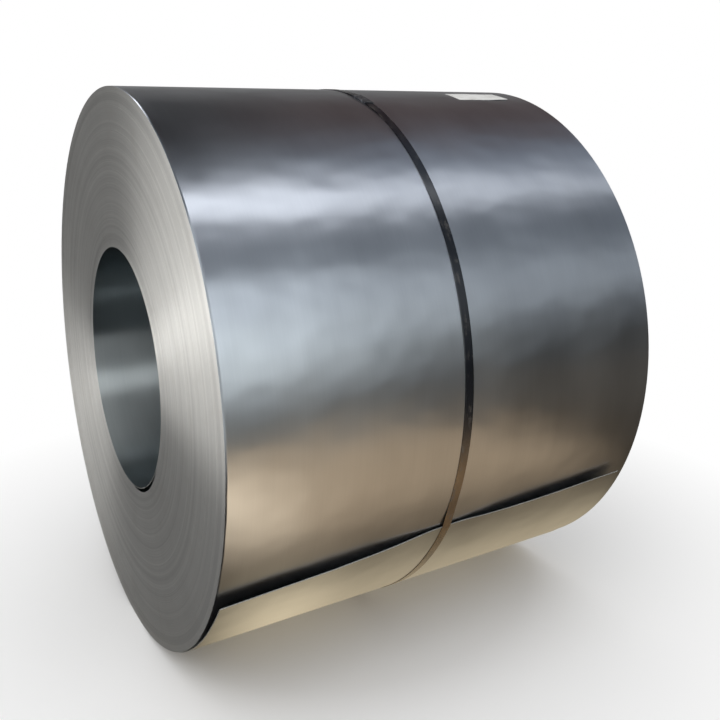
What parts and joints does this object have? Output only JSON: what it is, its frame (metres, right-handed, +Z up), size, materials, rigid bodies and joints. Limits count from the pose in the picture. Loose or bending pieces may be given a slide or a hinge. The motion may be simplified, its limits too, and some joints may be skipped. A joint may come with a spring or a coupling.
{
  "type": "steel coil",
  "caption": "Wound coil of steel strip lying on its side, with an open round bore, a steel strap with a crimped seal, a sprung loose outer end and a blank paper label.",
  "frame": {"origin": "on the ground under the middle of the coil, at the height of the lowest point", "axes": "+X along the coil's axis, -Y towards the loose outer end of the strip, +Z up"},
  "size_m": [0.95, 1.1622, 1.1621],
  "materials": {
    "bright_steel": "bright cold rolled strip with blurred reflections, matt grey turns on the ends",
    "dark_strapping": "blued and waxed steel strapping, near black",
    "seal_steel": "dark steel seal with crimped notches",
    "blank_paper": "matt blank paper"
  },
  "bodies": {
    "root": {"coil": "bright_steel", "strap": "dark_strapping", "strap_seal": "seal_steel", "label": "blank_paper"}
  },
  "joints": []
}
